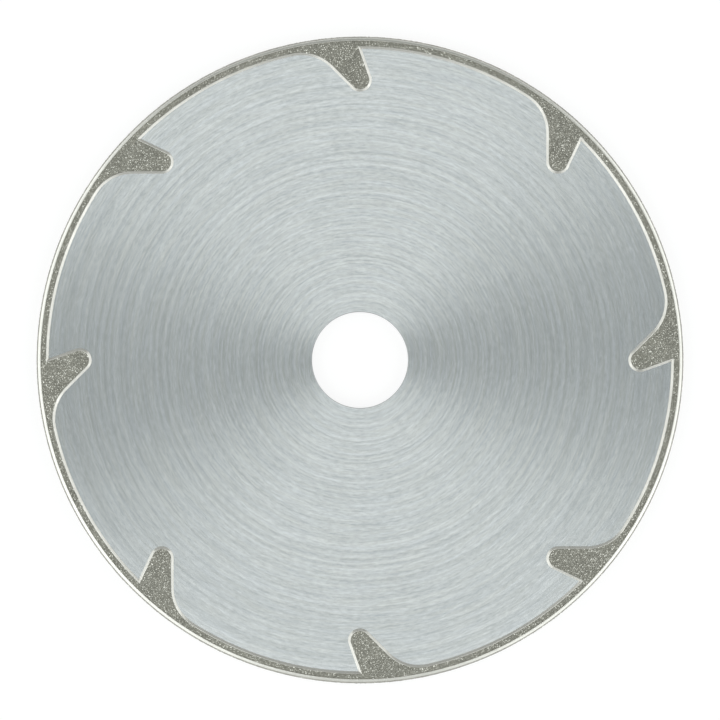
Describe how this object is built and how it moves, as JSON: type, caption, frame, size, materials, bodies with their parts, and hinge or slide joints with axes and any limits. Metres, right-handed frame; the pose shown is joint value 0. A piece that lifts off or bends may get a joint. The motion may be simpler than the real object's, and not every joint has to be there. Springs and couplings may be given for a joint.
{
  "type": "diamond cutting disc",
  "caption": "Flat round cutting disc with a plain centre bore, a bare steel blank and a plated abrasive layer that wraps the rim and reaches inward as hooked teeth on both faces.",
  "frame": {"origin": "centre of the bore at the middle of the blank's thickness", "axes": "+Z along the bore's axis, out of the front face; +Y through the tip of one tooth; the disc lies flat"},
  "size_m": [0.15, 0.15, 0.0028],
  "materials": {
    "steel": "brushed in circles round the bore, satin",
    "plated_grit": "nickel plating full of fine diamond grit, rough, with smooth bright edges"
  },
  "bodies": {
    "root": {"steel_core": "steel", "diamond_coating": "plated_grit"}
  },
  "joints": []
}
